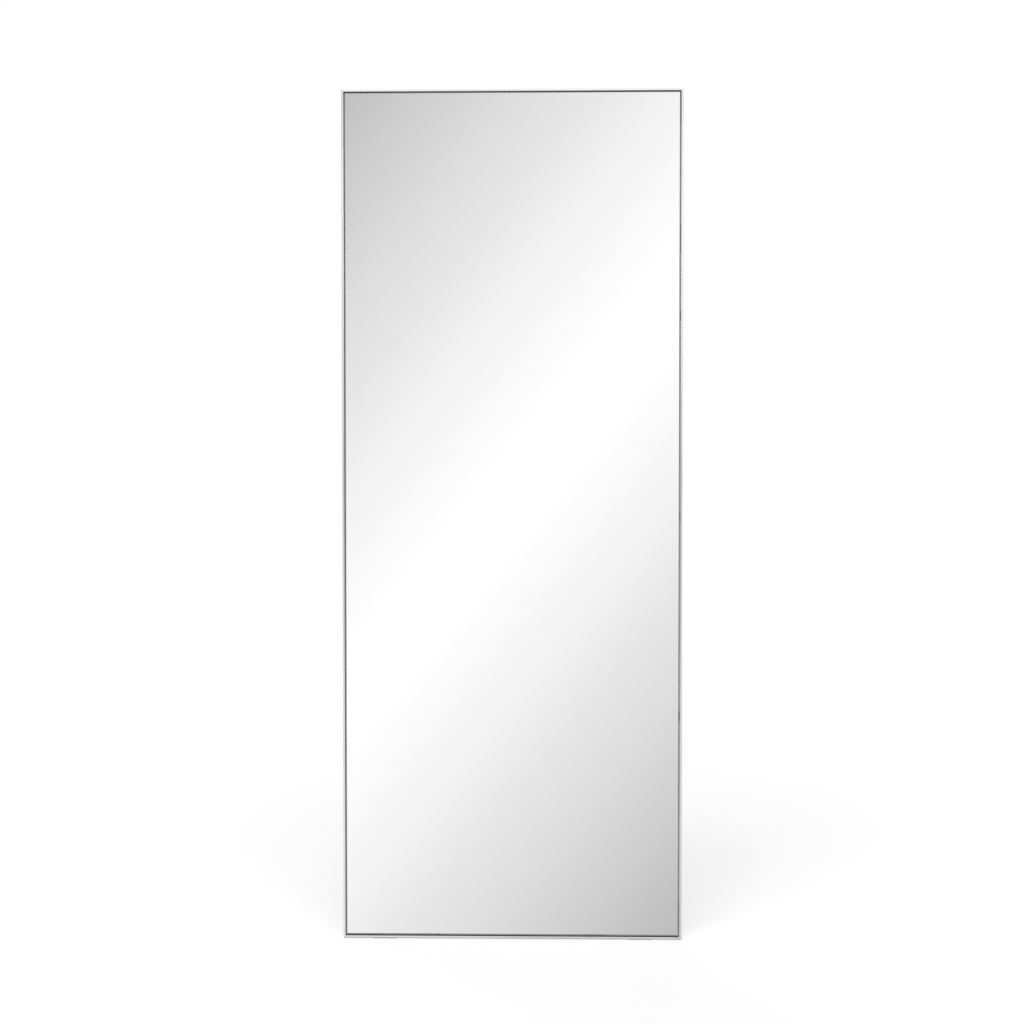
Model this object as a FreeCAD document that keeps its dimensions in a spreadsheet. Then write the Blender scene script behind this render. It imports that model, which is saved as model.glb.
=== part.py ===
import FreeCAD, Part
import math
import os

import Sketcher

# Leaning floor mirror: a tall sheet of mirror glass in a slim frame of polished stainless flat bar.
# The bars stand on edge, so only their thin edges show from the front, with a dark shadow gap
# between them and the glass. Behind the glass are a backing board, the plates and tabs that hold
# it, two D-ring hangers, rubber wall bumpers, and thin pads under the bottom bar.
# Axes: X across, Y from front to back, Z up from the floor. The origin is under the middle.

SIZES = {
    # Flat bar frame
    "frame_width": 813,
    "frame_height": 2032,
    "bar_depth": 38,
    "bar_thickness": 5,
    "bar_edge_radius": 0.5,
    # Mirror glass
    "glass_recess": 3.5,
    "glass_thickness": 4,
    "glass_side_gap": 3.4,
    "glass_bottom_gap": 5,
    "glass_arris": 0.4,
    # Foam tape between the glass and the board
    "tape_thickness": 1,
    "tape_width": 25,
    "tape_edge_margin": 20,
    "tape_end_margin": 30,
    # Backing board
    "board_thickness": 9,
    "board_side_gap": 0.5,
    "board_bottom_gap": 1,
    # Stepped rubber blocks on the bottom bar
    "block_length": 50,
    "block_spacing": 400,
    "block_setback": 0.5,
    # Corner plates and tabs, welded to the bars behind the board
    "plate_thickness": 2,
    "corner_plate_leg": 80,
    "corner_plate_end": 12,
    "corner_plate_relief": 8,
    "corner_screw_inset": 38,
    "tab_length": 26,
    "tab_reach": 22,
    "tab_corner_radius": 5,
    "tab_screw_inset": 13,
    "side_tab_pitch": 480,
    # Screws that hold the board to the plates and tabs
    "panel_screw_radius": 1.75,
    "panel_screw_length": 9,
    "panel_screw_tip": 2.5,
    "panel_screw_head_radius": 4.5,
    "panel_screw_head_height": 2,
    # Rubber wall bumpers and their screws
    "bumper_inset": 20,
    "bumper_stand_off": 3,
    "bumper_base_radius": 11,
    "bumper_top_radius": 9,
    "bumper_rim_bevel": 1,
    "bumper_floor": 5,
    "bumper_counterbore_radius": 5.5,
    "bumper_screw_radius": 1.75,
    "bumper_screw_length": 14,
    "bumper_screw_tip": 2.5,
    "bumper_screw_head_radius": 4.5,
    "bumper_screw_head_height": 2,
    # Hanger plates, folded straps and D-rings
    "hanger_drop": 330,
    "hanger_inset": 24,
    "hanger_plate_thickness": 3,
    "hanger_plate_reach": 46,
    "hanger_plate_above": 12,
    "hanger_plate_below": 54,
    "hanger_plate_corner_radius": 6,
    "strap_thickness": 1.2,
    "strap_width": 14,
    "strap_length": 44,
    "strap_fold_gap": 0.2,
    "strap_neck_radius": 1.5,
    "strap_end_radius": 4,
    "strap_screw_offset": 12.5,
    "strap_screw_pitch": 21.5,
    "ring_wire_radius": 1.75,
    "ring_inner_width": 26,
    "ring_corner_radius": 4,
    "ring_side_length": 6,
    "ring_loop_clearance": 0.3,
    "ring_rest_gap": 0.45,
    "hanger_screw_radius": 2.4,
    "hanger_screw_length": 10.5,
    "hanger_screw_tip": 0.8,
    "hanger_screw_head_radius": 4.5,
    "hanger_screw_head_height": 2.2,
    # Room round each screw in its hole, and past its tip
    "screw_clearance": 0.15,
    "screw_tip_clearance": 0.5,
    # Thin pads under the bottom bar
    "floor_pad_length": 60,
    "floor_pad_thickness": 1.5,
    "floor_pad_corner_radius": 6,
    "floor_pad_inset": 70,
}

TAPE_COUNT = 5
SIDES = {"left": "-", "right": ""}

X_AXIS = FreeCAD.Vector(1, 0, 0)
Y_AXIS = FreeCAD.Vector(0, 1, 0)
Z_AXIS = FreeCAD.Vector(0, 0, 1)

# Levels that several pieces share, as expressions on the sheet. Depths run back from the
# front edge of the bars, and heights run up from the floor.
FRAME_FRONT = "-(sizes.bar_depth + sizes.bumper_stand_off) / 2"
GLASS_FRONT = FRAME_FRONT + " + sizes.glass_recess"
TAPE_FRONT = GLASS_FRONT + " + sizes.glass_thickness"
BOARD_FRONT = TAPE_FRONT + " + sizes.tape_thickness"
PLATE_FRONT = BOARD_FRONT + " + sizes.board_thickness"
BUMPER_FRONT = PLATE_FRONT + " + sizes.plate_thickness"
STRAP_FRONT = PLATE_FRONT + " + sizes.hanger_plate_thickness"
STRAP_FOLD = "(2 * sizes.strap_thickness + sizes.strap_fold_gap)"
LOOP_RADIUS = "(sizes.ring_wire_radius + sizes.ring_loop_clearance)"
LOOP_AXIS = STRAP_FRONT + " + sizes.strap_thickness + " + LOOP_RADIUS

FRAME_BOTTOM = "sizes.floor_pad_thickness"
INNER_BOTTOM = "sizes.floor_pad_thickness + sizes.bar_thickness"
INNER_TOP = "sizes.floor_pad_thickness + sizes.frame_height - sizes.bar_thickness"
MIDDLE = "sizes.floor_pad_thickness + sizes.frame_height / 2"
INNER_SIDE = "sizes.frame_width / 2 - sizes.bar_thickness"
HANGER_AXIS = "sizes.floor_pad_thickness + sizes.frame_height - sizes.hanger_drop"

doc = FreeCAD.newDocument("leaning_floor_mirror")
sheet = doc.addObject("Spreadsheet::Sheet", "sizes")
for row, (alias, number) in enumerate(SIZES.items(), start=1):
    sheet.set(f"A{row}", alias)
    sheet.set(f"B{row}", str(number))
    sheet.setAlias(f"B{row}", alias)
doc.recompute()

parts = []


def new_body(label, is_part=True):
    body = doc.addObject("PartDesign::Body", label)
    body.Label = label
    if is_part:
        parts.append(body)
    return body


def place(item, x="0", y="0", z="0", axis=Z_AXIS, angle=0):
    item.Placement = FreeCAD.Placement(FreeCAD.Vector(), FreeCAD.Rotation(axis, angle))
    for letter, expression in zip("xyz", (x, y, z)):
        item.setExpression(f"Placement.Base.{letter}", expression)


def new_sketch(body, name, role="XZ_Plane", offset=None):
    """A sketch on one of the body's own origin planes, or at an offset along its normal."""
    sketch = body.newObject("Sketcher::SketchObject", name)
    plane = next(item for item in body.Origin.OriginFeatures if item.Role == role)
    sketch.AttachmentSupport = [(plane, "")]
    sketch.MapMode = "FlatFace"
    if offset:
        sketch.setExpression("AttachmentOffset.Base.z", offset)
    return sketch


def pin_point(sketch, geometry, vertex, across, up):
    """Hold one point of a sketch at a place given by two expressions."""
    for kind, expression, zero_line in (("DistanceX", across, -2), ("DistanceY", up, -1)):
        if expression == "0":
            sketch.addConstraint(Sketcher.Constraint("PointOnObject", geometry, vertex, zero_line))
        else:
            index = sketch.addConstraint(Sketcher.Constraint(kind, -1, 1, geometry, vertex, 1.0))
            sketch.setExpression(f"Constraints[{index}]", expression)


def draw_outline(sketch, corners):
    """A closed outline of straight lines through corners, each a pair of expressions."""
    count = len(corners)
    rough = Part.Circle(FreeCAD.Vector(), Z_AXIS, 10)
    points = [rough.value(-2 * math.pi * index / count) for index in range(count)]
    for index in range(count):
        sketch.addGeometry(Part.LineSegment(points[index], points[(index + 1) % count]), False)
    for index in range(count):
        following = (index + 1) % count
        sketch.addConstraint(Sketcher.Constraint("Coincident", index, 2, following, 1))
    for index, (across, up) in enumerate(corners):
        pin_point(sketch, index, 1, across, up)


def draw_rectangle(sketch, left, right, bottom, top):
    draw_outline(sketch, [(left, bottom), (right, bottom), (right, top), (left, top)])


def draw_circle(sketch, across, up, radius):
    index = sketch.addGeometry(Part.Circle(FreeCAD.Vector(1, 1, 0), Z_AXIS, 1), False)
    pin_point(sketch, index, 3, across, up)
    constraint = sketch.addConstraint(Sketcher.Constraint("Radius", index, 1.0))
    sketch.setExpression(f"Constraints[{constraint}]", radius)


def pad(body, sketch, length, side="One side", backwards=False):
    feature = body.newObject("PartDesign::Pad", sketch.Name + "_pad")
    feature.Profile = sketch
    feature.SideType = side
    feature.Reversed = backwards
    feature.setExpression("Length", length)
    doc.recompute()
    return feature


def pocket(body, sketch, length, side="One side", backwards=False):
    feature = body.newObject("PartDesign::Pocket", sketch.Name + "_pocket")
    feature.Profile = sketch
    feature.SideType = side
    feature.Reversed = backwards
    feature.setExpression("Length", length)
    doc.recompute()
    return feature


def revolve(body, sketch):
    feature = body.newObject("PartDesign::Revolution", sketch.Name + "_revolution")
    feature.Profile = sketch
    feature.ReferenceAxis = (sketch, ["V_Axis"])
    feature.Angle = 360
    doc.recompute()
    return feature


def edges_along(shape, axes):
    """Names of the straight edges that run along one of the given axes."""
    names = []
    for number, edge in enumerate(shape.Edges, start=1):
        if edge.Curve.TypeId != "Part::GeomLine":
            continue
        direction = edge.tangentAt(edge.FirstParameter)
        if any(abs(direction.dot(axis)) > 0.999 for axis in axes):
            names.append(f"Edge{number}")
    return names


def round_edges(body, feature, names, radius):
    fillet = body.newObject("PartDesign::Fillet", feature.Name + "_fillet")
    fillet.Base = (feature, names)
    fillet.setExpression("Radius", radius)
    doc.recompute()
    return fillet


def bevel_edges(body, feature, names, size):
    chamfer = body.newObject("PartDesign::Chamfer", feature.Name + "_chamfer")
    chamfer.Base = (feature, names)
    chamfer.setExpression("Size", size)
    doc.recompute()
    return chamfer


def minus(expression):
    return f"-({expression})"


# Frame: four lengths of flat bar, each cut to 45 degrees at both ends, so that the welded
# corners close without a step. All four long edges of each bar are eased.
def flat_bar(label, corners, long_axis):
    body = new_body(label)
    sketch = new_sketch(body, label + "_outline")
    draw_outline(sketch, corners)
    bar = pad(body, sketch, "sizes.bar_depth", backwards=True)
    round_edges(body, bar, edges_along(bar.Shape, [long_axis]), "sizes.bar_edge_radius")
    place(body, y=FRAME_FRONT, z=FRAME_BOTTOM)


half_width = "sizes.frame_width / 2"
height = "sizes.frame_height"
inner_low = "sizes.bar_thickness"
inner_high = "sizes.frame_height - sizes.bar_thickness"
flat_bar("frame_top_rail", [
    (minus(half_width), height),
    (half_width, height),
    (INNER_SIDE, inner_high),
    (minus(INNER_SIDE), inner_high),
], X_AXIS)
flat_bar("frame_bottom_rail", [
    (minus(half_width), "0"),
    (half_width, "0"),
    (INNER_SIDE, inner_low),
    (minus(INNER_SIDE), inner_low),
], X_AXIS)
for side, sign in SIDES.items():
    flat_bar(f"frame_{side}_stile", [
        (f"{sign}({half_width})", "0"),
        (f"{sign}({half_width})", height),
        (f"{sign}({INNER_SIDE})", inner_high),
        (f"{sign}({INNER_SIDE})", inner_low),
    ], Z_AXIS)

# Mirror glass: one sheet, silvered behind, with ground edges. It stands on the setting blocks
# and leaves a narrow gap to the bars at its other three sides.
glass = new_body("mirror_glass")
glass_outline = new_sketch(glass, "glass_outline")
glass_side = f"{INNER_SIDE} - sizes.glass_side_gap"
glass_bottom = f"{INNER_BOTTOM} + sizes.glass_bottom_gap"
glass_top = f"{INNER_TOP} - sizes.glass_side_gap"
draw_rectangle(glass_outline, minus(glass_side), glass_side, glass_bottom, glass_top)
glass_sheet = pad(glass, glass_outline, "sizes.glass_thickness", backwards=True)
bevel_edges(glass, glass_sheet, edges_along(glass_sheet.Shape, [X_AXIS, Z_AXIS]), "sizes.glass_arris")
place(glass, y=GLASS_FRONT)

# Foam tape: upright strips, evenly spread over the back of the glass.
tape_run = f"({INNER_SIDE} - sizes.glass_side_gap - sizes.tape_edge_margin - sizes.tape_width / 2)"
for number in range(TAPE_COUNT):
    tape = doc.addObject("Part::Box", f"foam_tape_{number + 1}")
    tape.setExpression("Length", "sizes.tape_width")
    tape.setExpression("Width", "sizes.tape_thickness")
    tape.setExpression("Height", f"{glass_top} - ({glass_bottom}) - 2 * sizes.tape_end_margin")
    share = 2 * number / (TAPE_COUNT - 1) - 1
    place(
        tape,
        x=f"{share} * {tape_run} - sizes.tape_width / 2",
        y=TAPE_FRONT,
        z=f"{glass_bottom} + sizes.tape_end_margin",
    )
    parts.append(tape)

# Places of the screws in X and Z, shared by the board's holes, the plates and the screws.
corners = {}
for level, edge, direction in (("bottom", INNER_BOTTOM, "+"), ("top", INNER_TOP, "-")):
    for side, sign in SIDES.items():
        corners[f"{level}_{side}"] = (sign, edge, direction)

panel_screw_places = []
bumper_places = {}
for corner, (sign, edge, direction) in corners.items():
    across = f"{sign}({INNER_SIDE} - sizes.corner_screw_inset)"
    panel_screw_places.append((across, f"{edge} {direction} sizes.corner_screw_inset"))
    across = f"{sign}({INNER_SIDE} - sizes.bumper_inset)"
    bumper_places[corner] = (across, f"{edge} {direction} sizes.bumper_inset")
panel_screw_places.append(("0", f"{INNER_BOTTOM} + sizes.tab_screw_inset"))
panel_screw_places.append(("0", f"{INNER_TOP} - sizes.tab_screw_inset"))
side_tab_levels = [f"{MIDDLE} + {step} * sizes.side_tab_pitch" for step in (-1, 0, 1)]
for sign in SIDES.values():
    for level in side_tab_levels:
        panel_screw_places.append((f"{sign}({INNER_SIDE} - sizes.tab_screw_inset)", level))

hanger_screw_places = []
for sign in SIDES.values():
    across = f"{sign}({INNER_SIDE} - sizes.hanger_inset)"
    first = f"{HANGER_AXIS} - sizes.strap_screw_offset"
    hanger_screw_places.append((across, first))
    hanger_screw_places.append((across, f"{first} - sizes.strap_screw_pitch"))

# Backing board: dark fibreboard that nearly fills the frame, with a blind hole for each screw.
board = new_body("backing_board")
board_outline = new_sketch(board, "board_outline")
board_side = f"{INNER_SIDE} - sizes.board_side_gap"
draw_rectangle(
    board_outline,
    minus(board_side),
    board_side,
    f"{INNER_BOTTOM} + sizes.board_bottom_gap",
    f"{INNER_TOP} - sizes.board_side_gap",
)
pad(board, board_outline, "sizes.board_thickness", backwards=True)
hole_groups = (
    ("panel_screw", panel_screw_places, "sizes.plate_thickness"),
    ("bumper_screw", bumper_places.values(), "(sizes.bumper_floor + sizes.plate_thickness)"),
    ("hanger_screw", hanger_screw_places, f"({STRAP_FOLD} + sizes.hanger_plate_thickness)"),
)
for screw, places, carried in hole_groups:
    holes = new_sketch(board, f"{screw}_holes", offset="-sizes.board_thickness")
    for across, up in places:
        draw_circle(holes, across, up, f"sizes.{screw}_radius + sizes.screw_clearance")
    pocket(
        board,
        holes,
        f"sizes.{screw}_length - {carried} + sizes.screw_tip_clearance",
        backwards=True,
    )
place(board, y=BOARD_FRONT)

# Setting blocks: rubber, with a low step under the board and a high step under the glass.
for side, sign in SIDES.items():
    block = new_body(f"setting_block_{side}")
    profile = new_sketch(block, f"block_{side}_profile", role="YZ_Plane")
    glass_back = "sizes.glass_thickness"
    board_back = "sizes.glass_thickness + sizes.tape_thickness + sizes.board_thickness"
    draw_outline(profile, [
        ("sizes.block_setback", "0"),
        (board_back, "0"),
        (board_back, "sizes.board_bottom_gap"),
        (glass_back, "sizes.board_bottom_gap"),
        (glass_back, "sizes.glass_bottom_gap"),
        ("sizes.block_setback", "sizes.glass_bottom_gap"),
    ])
    pad(block, profile, "sizes.block_length", side="Symmetric")
    place(block, x=f"{sign}sizes.block_spacing / 2", y=GLASS_FRONT, z=INNER_BOTTOM)

# Corner plates: right-angled steel plates with blunt ends and a cut-off corner that clears the
# weld. One hole takes the screw of the rubber bumper, and the other a panel screw.
corner_turns = {"bottom_left": 0, "top_left": 90, "top_right": 180, "bottom_right": 270}
for corner, turn in corner_turns.items():
    sign, edge, direction = corners[corner]
    plate = new_body(f"corner_plate_{corner}")
    outline = new_sketch(plate, f"plate_{corner}_outline")
    draw_outline(outline, [
        ("sizes.corner_plate_relief", "0"),
        ("sizes.corner_plate_leg", "0"),
        ("sizes.corner_plate_leg", "sizes.corner_plate_end"),
        ("sizes.corner_plate_end", "sizes.corner_plate_leg"),
        ("0", "sizes.corner_plate_leg"),
        ("0", "sizes.corner_plate_relief"),
    ])
    pad(plate, outline, "sizes.plate_thickness", backwards=True)
    holes = new_sketch(plate, f"plate_{corner}_holes")
    for inset, screw in (("corner_screw_inset", "panel_screw"), ("bumper_inset", "bumper_screw")):
        radius = f"sizes.{screw}_radius + sizes.screw_clearance"
        draw_circle(holes, f"sizes.{inset}", f"sizes.{inset}", radius)
    pocket(plate, holes, "2 * sizes.plate_thickness", side="Symmetric")
    place(plate, x=f"{sign}({INNER_SIDE})", y=PLATE_FRONT, z=edge, axis=Y_AXIS, angle=turn)


# Tabs: small steel plates welded to a bar along one side, with a hole for a panel screw.
def welded_tab(label, across, level, turn):
    tab = new_body(label)
    outline = new_sketch(tab, label + "_outline")
    draw_rectangle(outline, "-sizes.tab_length / 2", "sizes.tab_length / 2", "0", "sizes.tab_reach")
    plate = pad(tab, outline, "sizes.plate_thickness", backwards=True)
    free_corners = [
        name for name in edges_along(plate.Shape, [Y_AXIS])
        if plate.Shape.getElement(name).CenterOfMass.z > 0.001
    ]
    round_edges(tab, plate, free_corners, "sizes.tab_corner_radius")
    hole = new_sketch(tab, label + "_hole")
    radius = "sizes.panel_screw_radius + sizes.screw_clearance"
    draw_circle(hole, "0", "sizes.tab_screw_inset", radius)
    pocket(tab, hole, "2 * sizes.plate_thickness", side="Symmetric")
    place(tab, x=across, y=PLATE_FRONT, z=level, axis=Y_AXIS, angle=turn)


side_turns = {"left": 90, "right": 270}
for side, sign in SIDES.items():
    for number, level in enumerate(side_tab_levels, start=1):
        label = f"side_tab_{side}_{number}"
        welded_tab(label, f"{sign}({INNER_SIDE})", level, side_turns[side])
welded_tab("bottom_tab", "0", INNER_BOTTOM, 0)
welded_tab("top_tab", "0", INNER_TOP, 180)

# Wall bumpers: tapered rubber with a counterbore for the screw head.
bumper_height = (
    "sizes.bar_depth - sizes.glass_recess - sizes.glass_thickness - sizes.tape_thickness"
    " - sizes.board_thickness - sizes.plate_thickness + sizes.bumper_stand_off"
)
bumper_hole = "sizes.bumper_screw_radius + sizes.screw_clearance"
for corner, (across, up) in bumper_places.items():
    bumper = new_body(f"wall_bumper_{corner}")
    profile = new_sketch(bumper, f"bumper_{corner}_profile")
    draw_outline(profile, [
        (bumper_hole, "0"),
        ("sizes.bumper_base_radius", "0"),
        ("sizes.bumper_top_radius", f"{bumper_height} - sizes.bumper_rim_bevel"),
        ("sizes.bumper_top_radius - sizes.bumper_rim_bevel", bumper_height),
        ("sizes.bumper_counterbore_radius", bumper_height),
        ("sizes.bumper_counterbore_radius", "sizes.bumper_floor"),
        (bumper_hole, "sizes.bumper_floor"),
    ])
    revolve(bumper, profile)
    place(bumper, x=across, y=BUMPER_FRONT, z=up, axis=X_AXIS, angle=-90)


# Screws: round heads on plain shanks. Each kind is drawn once, with the underside of its head
# at the origin, and a copy is set in every place.
def screw_group(label, kind, places, seat):
    screw = new_body(kind, is_part=False)
    profile = new_sketch(screw, kind + "_profile")
    head_height = f"sizes.{kind}_head_height"
    head_radius = f"sizes.{kind}_head_radius"
    draw_outline(profile, [
        ("0", f"-sizes.{kind}_length"),
        (f"sizes.{kind}_radius", f"sizes.{kind}_tip - sizes.{kind}_length"),
        (f"sizes.{kind}_radius", "0"),
        (head_radius, "0"),
        (head_radius, f"0.4 * {head_height}"),
        (f"0.6 * {head_radius}", head_height),
        ("0", head_height),
    ])
    revolve(screw, profile)
    copies = []
    for number, (across, up) in enumerate(places, start=1):
        copy = doc.addObject("App::Link", f"{kind}_{number}")
        copy.LinkedObject = screw
        place(copy, x=across, y=seat, z=up, axis=X_AXIS, angle=-90)
        copies.append(copy)
    group = doc.addObject("Part::Compound", label)
    group.Links = copies
    parts.append(group)


screw_group("panel_screws", "panel_screw", panel_screw_places, BUMPER_FRONT)
bumper_seat = BUMPER_FRONT + " + sizes.bumper_floor"
screw_group("bumper_screws", "bumper_screw", bumper_places.values(), bumper_seat)
hanger_seat = f"{STRAP_FRONT} + {STRAP_FOLD}"
screw_group("hanger_screws", "hanger_screw", hanger_screw_places, hanger_seat)


# Hanger plates: thicker steel plates welded to the stiles, with two holes for the strap's screws.
def hanger_plate(side, sign):
    plate = new_body(f"hanger_plate_{side}")
    outline = new_sketch(plate, f"hanger_plate_{side}_outline")
    stile_face = "-sizes.hanger_inset"
    free_side = "sizes.hanger_plate_reach - sizes.hanger_inset"
    left, right = (stile_face, free_side) if side == "left" else (minus(free_side), minus(stile_face))
    draw_rectangle(outline, left, right, "-sizes.hanger_plate_below", "sizes.hanger_plate_above")
    blank = pad(plate, outline, "sizes.hanger_plate_thickness", backwards=True)
    free_corners = [
        name for name in edges_along(blank.Shape, [Y_AXIS])
        if blank.Shape.getElement(name).CenterOfMass.x * (1 if side == "left" else -1) > 0
    ]
    round_edges(plate, blank, free_corners, "sizes.hanger_plate_corner_radius")
    drill_hanger_holes(plate, side, "2 * sizes.hanger_plate_thickness")
    place(plate, x=f"{sign}({INNER_SIDE} - sizes.hanger_inset)", y=PLATE_FRONT, z=HANGER_AXIS)


def drill_hanger_holes(body, side, depth):
    holes = new_sketch(body, body.Label + "_holes")
    radius = "sizes.hanger_screw_radius + sizes.screw_clearance"
    first = "-sizes.strap_screw_offset"
    for level in (first, f"{first} - sizes.strap_screw_pitch"):
        draw_circle(holes, "0", level, radius)
    pocket(body, holes, depth, side="Symmetric")


# Hanger straps: steel strip folded round the bar of the D-ring, so that its two layers lie flat
# together on the plate. The loop's axis is at the body's own height zero.
def hanger_strap(side, sign):
    strap = new_body(f"hanger_strap_{side}")
    loop_depth = f"sizes.strap_thickness + {LOOP_RADIUS}"
    layers = new_sketch(strap, f"strap_{side}_layers", role="YZ_Plane")
    draw_rectangle(layers, "0", STRAP_FOLD, "-sizes.strap_length", "0")
    pad(strap, layers, "sizes.strap_width", side="Symmetric")
    loop = new_sketch(strap, f"strap_{side}_loop", role="YZ_Plane")
    draw_circle(loop, loop_depth, "0", loop_depth)
    folded = pad(strap, loop, "sizes.strap_width", side="Symmetric")
    neck = [
        name for name in edges_along(folded.Shape, [X_AXIS])
        if is_neck(folded.Shape.getElement(name))
    ]
    neck_round = round_edges(strap, folded, neck, "sizes.strap_neck_radius")
    end_corners = [
        name for name in edges_along(neck_round.Shape, [Y_AXIS])
        if neck_round.Shape.getElement(name).CenterOfMass.z < -1
    ]
    round_edges(strap, neck_round, end_corners, "sizes.strap_end_radius")
    bore = new_sketch(strap, f"strap_{side}_bore", role="YZ_Plane")
    draw_circle(bore, loop_depth, "0", LOOP_RADIUS)
    pocket(strap, bore, "2 * sizes.strap_width", side="Symmetric")
    fold = new_sketch(strap, f"strap_{side}_fold", role="YZ_Plane")
    fold_back = "sizes.strap_thickness + sizes.strap_fold_gap"
    fold_low = "-2 * sizes.strap_length"
    fold_high = minus(f"{LOOP_RADIUS} / 2")
    draw_rectangle(fold, "sizes.strap_thickness", fold_back, fold_low, fold_high)
    pocket(strap, fold, "2 * sizes.strap_width", side="Symmetric")
    drill_hanger_holes(strap, side, f"4 * {STRAP_FOLD}")
    place(strap, x=f"{sign}({INNER_SIDE} - sizes.hanger_inset)", y=STRAP_FRONT, z=HANGER_AXIS)


def is_neck(edge):
    """True for the inside corner where the strap's rear layer meets the loop."""
    middle = edge.CenterOfMass
    rear_layer = 2 * SIZES["strap_thickness"] + SIZES["strap_fold_gap"]
    return abs(middle.y - rear_layer) < 0.001 and -SIZES["strap_length"] + 1 < middle.z < -0.001


# D-rings: round wire bent to a straight bar, two short sides and a half-round bow. Each hangs
# from its bar, with the bow leaning on the strap, and swings up to point straight up.
def hanger_ring(side, sign):
    ring = new_body(f"hanger_ring_{side}")
    path = new_sketch(ring, f"ring_{side}_path")
    half = SIZES["ring_inner_width"] / 2 + SIZES["ring_wire_radius"]
    bend = SIZES["ring_corner_radius"]
    drop = -SIZES["ring_side_length"]
    draw_ring_path(path, half, bend, drop)
    section = new_sketch(ring, f"ring_{side}_section", role="YZ_Plane")
    draw_circle(section, "0", "0", "sizes.ring_wire_radius")
    doc.recompute()
    wire = ring.newObject("PartDesign::AdditivePipe", f"ring_{side}_wire")
    wire.Profile = section
    wire.Spine = (path, [])
    ring_depth = "(sizes.ring_side_length + sizes.ring_inner_width / 2 + sizes.ring_wire_radius)"
    bow_offset = "(sizes.strap_thickness + sizes.strap_fold_gap + sizes.ring_rest_gap"
    bow_offset += " - sizes.ring_loop_clearance)"
    across = f"{sign}({INNER_SIDE} - sizes.hanger_inset)"
    place(ring, x=across, y=LOOP_AXIS, z=HANGER_AXIS, axis=X_AXIS, angle=1)
    ring.setExpression("Placement.Rotation.Angle", f"asin({bow_offset} / {ring_depth})")
    doc.recompute()


def draw_ring_path(path, half, bend, drop):
    """The wire's centreline: bar, corner, side, bow, side and corner, tangent all round."""
    quarter = math.pi / 2
    flat = half - bend
    point = FreeCAD.Vector
    bar = path.addGeometry(Part.LineSegment(point(-flat, 0, 0), point(flat, 0, 0)), False)
    right_corner = path.addGeometry(
        Part.ArcOfCircle(Part.Circle(point(flat, -bend, 0), Z_AXIS, bend), 0, quarter), False)
    right_side = path.addGeometry(
        Part.LineSegment(point(half, -bend, 0), point(half, drop, 0)), False)
    bow = path.addGeometry(
        Part.ArcOfCircle(Part.Circle(point(0, drop, 0), Z_AXIS, half), 2 * quarter, 4 * quarter), False)
    left_side = path.addGeometry(
        Part.LineSegment(point(-half, drop, 0), point(-half, -bend, 0)), False)
    left_corner = path.addGeometry(
        Part.ArcOfCircle(Part.Circle(point(-flat, -bend, 0), Z_AXIS, bend), quarter, 2 * quarter), False)
    joints = (
        (bar, 2, right_corner, 2),
        (right_corner, 1, right_side, 1),
        (right_side, 2, bow, 2),
        (bow, 1, left_side, 1),
        (left_side, 2, left_corner, 2),
        (left_corner, 1, bar, 1),
    )
    for first, first_end, second, second_end in joints:
        path.addConstraint(Sketcher.Constraint("Tangent", first, first_end, second, second_end))
    path.addConstraint(Sketcher.Constraint("PointOnObject", bar, 1, -1))
    path.addConstraint(Sketcher.Constraint("Horizontal", bar))
    path.addConstraint(Sketcher.Constraint("Vertical", right_side))
    path.addConstraint(Sketcher.Constraint("Vertical", left_side))
    path.addConstraint(Sketcher.Constraint("PointOnObject", bow, 3, -2))
    corner_radius = path.addConstraint(Sketcher.Constraint("Radius", right_corner, bend))
    path.setExpression(f"Constraints[{corner_radius}]", "sizes.ring_corner_radius")
    path.addConstraint(Sketcher.Constraint("Equal", right_corner, left_corner))
    bow_radius = path.addConstraint(Sketcher.Constraint("Radius", bow, half))
    inner_half = "sizes.ring_inner_width / 2 + sizes.ring_wire_radius"
    path.setExpression(f"Constraints[{bow_radius}]", inner_half)
    bow_drop = path.addConstraint(Sketcher.Constraint("DistanceY", -1, 1, bow, 3, drop))
    path.setExpression(f"Constraints[{bow_drop}]", "-sizes.ring_side_length")


for side, sign in SIDES.items():
    hanger_plate(side, sign)
    hanger_strap(side, sign)
    hanger_ring(side, sign)

# Floor pads: thin clear pads near the ends of the bottom bar, over the whole flat of its underside.
pad_half_depth = "sizes.bar_depth / 2 - sizes.bar_edge_radius"
for side, sign in SIDES.items():
    foot = new_body(f"floor_pad_{side}")
    outline = new_sketch(foot, f"floor_pad_{side}_outline", role="XY_Plane")
    draw_rectangle(
        outline,
        "-sizes.floor_pad_length / 2",
        "sizes.floor_pad_length / 2",
        minus(pad_half_depth),
        pad_half_depth,
    )
    slab = pad(foot, outline, "sizes.floor_pad_thickness")
    round_edges(foot, slab, edges_along(slab.Shape, [Z_AXIS]), "sizes.floor_pad_corner_radius")
    middle = "sizes.frame_width / 2 - sizes.floor_pad_inset - sizes.floor_pad_length / 2"
    place(foot, x=f"{sign}({middle})", y=FRAME_FRONT + " + sizes.bar_depth / 2")

doc.recompute()

for item in doc.Objects:
    if {"Invalid", "Error"} & set(item.State):
        raise RuntimeError(f"{item.Name} could not be built: {item.State}")
for part in parts:
    if part.Shape.isNull() or not part.Shape.isValid() or not part.Shape.Solids:
        raise RuntimeError(f"{part.Label} has no valid solid")

os.makedirs("parts", exist_ok=True)
for part in parts:
    part.Shape.exportStep(f"parts/{part.Label}.step")
    print(f"{part.Label}: {len(part.Shape.Solids)} solid, {part.Shape.Volume:.1f} mm3")
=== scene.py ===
import math

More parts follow.
